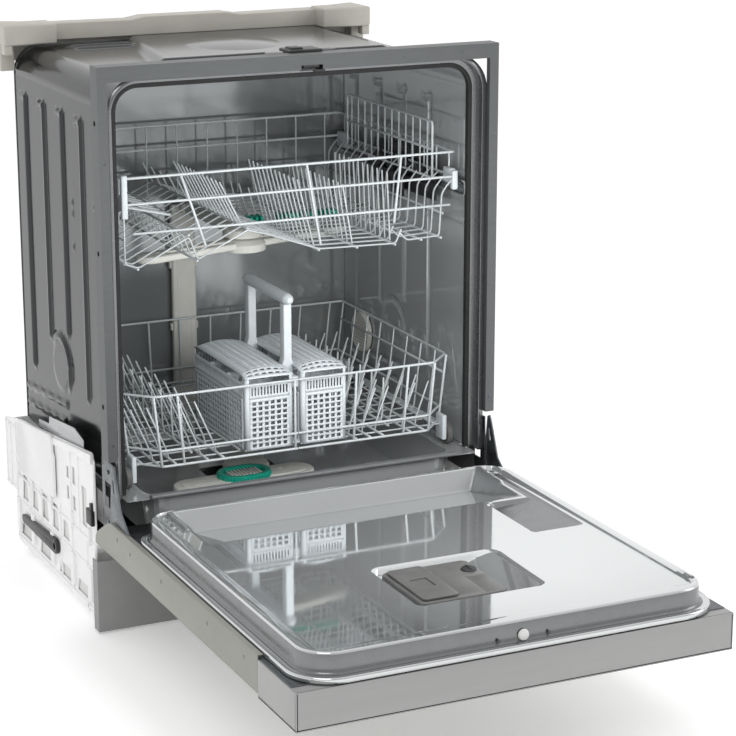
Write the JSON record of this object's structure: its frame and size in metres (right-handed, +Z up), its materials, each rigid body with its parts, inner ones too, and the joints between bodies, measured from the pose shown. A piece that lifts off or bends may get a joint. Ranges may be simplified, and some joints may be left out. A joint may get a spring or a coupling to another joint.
{
  "type": "built-in dishwasher",
  "caption": "Built-in dishwasher with its door open: steel tub in a front frame, wire racks on rails, nested spray arms, cutlery basket, dispenser, base with pumps and feet.",
  "frame": {"origin": "on the floor, at the centre of the bounding box with the door lying open", "axes": "+Z up, +X to the right seen from the front, +Y from the open door towards the rear"},
  "size_m": [0.598, 1.156, 0.826],
  "materials": {
    "stainless": "drawn stainless sheet",
    "polished": "mirror-bright stainless sheet",
    "frame_steel": "satin grey",
    "door_paint": "satin grey-beige",
    "panel_grey": "satin silver-grey",
    "cover_beige": "beige, matt",
    "white_plastic": "white, satin",
    "tank_white": "white, smooth",
    "black_plastic": "black",
    "dark_grey_plastic": "dark grey",
    "rubber": "black rubber",
    "wire_grey": "nylon-coated steel wire",
    "basket_grey": "light grey",
    "arm_grey": "warm light grey",
    "cast_iron": "as cast",
    "hinge_steel": "zinc-plated",
    "spring_steel": "bright wire",
    "clear_plastic": "clear, milky"
  },
  "bodies": {
    "machine": {"tub_wrap": "stainless", "tub_back_panel": "stainless", "tub_floor": "stainless", "front_frame": "frame_steel", "kick_plate": "panel_grey", "rear_top_cover": "cover_beige", "base_tray": "white_plastic", "water_tank": "tank_white", "foot_front_left": "black_plastic", "foot_front_right": "black_plastic", "foot_rear_left": "black_plastic", "foot_rear_right": "black_plastic", "wash_pump": "black_plastic", "latch_housing": "black_plastic", "sump": "dark_grey_plastic", "drain_pump": "dark_grey_plastic", "door_gasket": "rubber", "sill_seal": "rubber", "feed_duct": "arm_grey", "vent_cap": "arm_grey", "salt_cap": "arm_grey", "filter_cylinder": "arm_grey", "counterweight": "cast_iron", "hinge_bracket_left": "hinge_steel", "hinge_bracket_right": "hinge_steel", "door_spring_left": "spring_steel", "door_spring_right": "spring_steel"},
    "latch": {"latch_hook": "black_plastic"},
    "lever_left": {"tension_lever_left": "black_plastic"},
    "lever_right": {"tension_lever_right": "black_plastic"},
    "rail_left": {"rack_rail_left": "stainless"},
    "rail_right": {"rack_rail_right": "stainless"},
    "lower_arm": {"lower_spray_arm": "arm_grey"},
    "satellite": {"satellite_arm": "arm_grey"},
    "door": {"outer_door_panel": "door_paint", "control_panel": "panel_grey", "door_liner": "polished", "hinge_arm_left": "hinge_steel", "hinge_arm_right": "hinge_steel", "door_striker": "clear_plastic", "detergent_dispenser": "dark_grey_plastic"},
    "detergent_flap": {"detergent_lid": "dark_grey_plastic"},
    "rinse_cap": {"rinse_aid_cap": "black_plastic"},
    "power_key": {"power_button": "dark_grey_plastic"},
    "start_key": {"start_button": "dark_grey_plastic"},
    "upper_basket": {"upper_rack": "wire_grey", "upper_feed_pipe": "arm_grey", "height_adjuster_left": "black_plastic", "height_adjuster_right": "black_plastic"},
    "shelf_left": {"cup_shelf_left": "wire_grey"},
    "shelf_right": {"cup_shelf_right": "wire_grey"},
    "upper_arm": {"upper_spray_arm": "arm_grey"},
    "lower_basket": {"lower_rack": "wire_grey"},
    "tines_left": {"tine_row_left": "wire_grey"},
    "tines_right": {"tine_row_right": "wire_grey"},
    "cutlery": {"cutlery_basket": "basket_grey"},
    "roller_front_left": {"wheel_front_left": "dark_grey_plastic"},
    "roller_front_right": {"wheel_front_right": "dark_grey_plastic"},
    "roller_rear_left": {"wheel_rear_left": "dark_grey_plastic"},
    "roller_rear_right": {"wheel_rear_right": "dark_grey_plastic"}
  },
  "joints": [
    {"name": "door_hinge", "type": "hinge", "parent": "machine", "child": "door", "pos_m": [0, 0.046, 0.18], "axis": [-1, 0, 0], "range_deg": [0, 90]},
    {"name": "lever_left_turn", "type": "hinge", "parent": "machine", "child": "lever_left", "pos_m": [-0.295, 0.326, 0.069], "axis": [1, 0, 0], "range_deg": [0, 12]},
    {"name": "lever_right_turn", "type": "hinge", "parent": "machine", "child": "lever_right", "pos_m": [0.295, 0.326, 0.069], "axis": [1, 0, 0], "range_deg": [0, 12]},
    {"name": "latch_release", "type": "hinge", "parent": "machine", "child": "latch", "pos_m": [0.01, 0.081, 0.8068], "axis": [-1, 0, 0], "range_deg": [0, 6], "stiffness_Nm_per_rad": 0.05},
    {"name": "upper_rack_slide", "type": "slide", "parent": "machine", "child": "upper_basket", "axis": [0, 1, 0], "range_m": [-0.42, 0]},
    {"name": "rail_left_slide", "type": "slide", "parent": "machine", "child": "rail_left", "axis": [0, 1, 0], "range_m": [-0.211, 0]},
    {"name": "rail_right_slide", "type": "slide", "parent": "machine", "child": "rail_right", "axis": [0, 1, 0], "range_m": [-0.211, 0]},
    {"name": "shelf_left_fold", "type": "hinge", "parent": "upper_basket", "child": "shelf_left", "pos_m": [-0.244, 0.303, 0.612], "axis": [0, -1, 0], "range_deg": [0, 104]},
    {"name": "shelf_right_fold", "type": "hinge", "parent": "upper_basket", "child": "shelf_right", "pos_m": [0.244, 0.303, 0.612], "axis": [0, -1, 0], "range_deg": [0, 104]},
    {"name": "upper_arm_spin", "type": "hinge", "parent": "upper_basket", "child": "upper_arm", "pos_m": [0, 0.294, 0.505], "axis": [0, 0, 1], "continuous": true},
    {"name": "lower_arm_spin", "type": "hinge", "parent": "machine", "child": "lower_arm", "pos_m": [0, 0.294, 0.168], "axis": [0, 0, 1], "continuous": true},
    {"name": "satellite_spin", "type": "hinge", "parent": "lower_arm", "child": "satellite", "pos_m": [-0.042, 0.198, 0.1728], "axis": [0, 0, 1], "continuous": true},
    {"name": "lower_rack_slide", "type": "slide", "parent": "machine", "child": "lower_basket", "axis": [0, 1, 0], "range_m": [-0.45, 0]},
    {"name": "tines_left_fold", "type": "hinge", "parent": "lower_basket", "child": "tines_left", "pos_m": [-0.155, 0.288, 0.2555], "axis": [0, -1, 0], "range_deg": [0, 85]},
    {"name": "tines_right_fold", "type": "hinge", "parent": "lower_basket", "child": "tines_right", "pos_m": [0.155, 0.288, 0.2555], "axis": [0, 1, 0], "range_deg": [0, 85]},
    {"name": "cutlery_lift", "type": "slide", "parent": "lower_basket", "child": "cutlery", "axis": [0, 0, 1], "range_m": [0, 0.025]},
    {"name": "roller_front_left_spin", "type": "hinge", "parent": "lower_basket", "child": "roller_front_left", "pos_m": [-0.2525, 0.12, 0.2318], "axis": [1, 0, 0], "range_deg": [-1580, 1580]},
    {"name": "roller_front_right_spin", "type": "hinge", "parent": "lower_basket", "child": "roller_front_right", "pos_m": [0.2525, 0.12, 0.2318], "axis": [1, 0, 0], "range_deg": [-1580, 1580]},
    {"name": "roller_rear_left_spin", "type": "hinge", "parent": "lower_basket", "child": "roller_rear_left", "pos_m": [-0.2525, 0.463, 0.2318], "axis": [1, 0, 0], "range_deg": [-1580, 1580]},
    {"name": "roller_rear_right_spin", "type": "hinge", "parent": "lower_basket", "child": "roller_rear_right", "pos_m": [0.2525, 0.463, 0.2318], "axis": [1, 0, 0], "range_deg": [-1580, 1580]},
    {"name": "detergent_lid_slide", "type": "slide", "parent": "door", "child": "detergent_flap", "axis": [1, 0, 0], "range_m": [0, 0.04]},
    {"name": "rinse_cap_turn", "type": "hinge", "parent": "door", "child": "rinse_cap", "pos_m": [0.0325, -0.372, 0.2133], "axis": [0, 0, 1], "range_deg": [0, 90]},
    {"name": "power_press", "type": "slide", "parent": "door", "child": "power_key", "axis": [0, 0, 1], "range_m": [0, 0.0015], "stiffness_N_per_m": 300},
    {"name": "start_press", "type": "slide", "parent": "door", "child": "start_key", "axis": [0, 0, 1], "range_m": [0, 0.0015], "stiffness_N_per_m": 300}
  ],
  "couplings": [
    {"joint": "lever_left_turn", "follows": "door_hinge", "ratio": 0.13},
    {"joint": "lever_right_turn", "follows": "door_hinge", "ratio": 0.13},
    {"joint": "rail_left_slide", "follows": "upper_rack_slide", "ratio": 0.5},
    {"joint": "rail_right_slide", "follows": "upper_rack_slide", "ratio": 0.5},
    {"joint": "roller_front_left_spin", "follows": "lower_rack_slide", "rad_per_m": -60.606},
    {"joint": "roller_front_right_spin", "follows": "lower_rack_slide", "rad_per_m": -60.606},
    {"joint": "roller_rear_left_spin", "follows": "lower_rack_slide", "rad_per_m": -60.606},
    {"joint": "roller_rear_right_spin", "follows": "lower_rack_slide", "rad_per_m": -60.606}
  ]
}
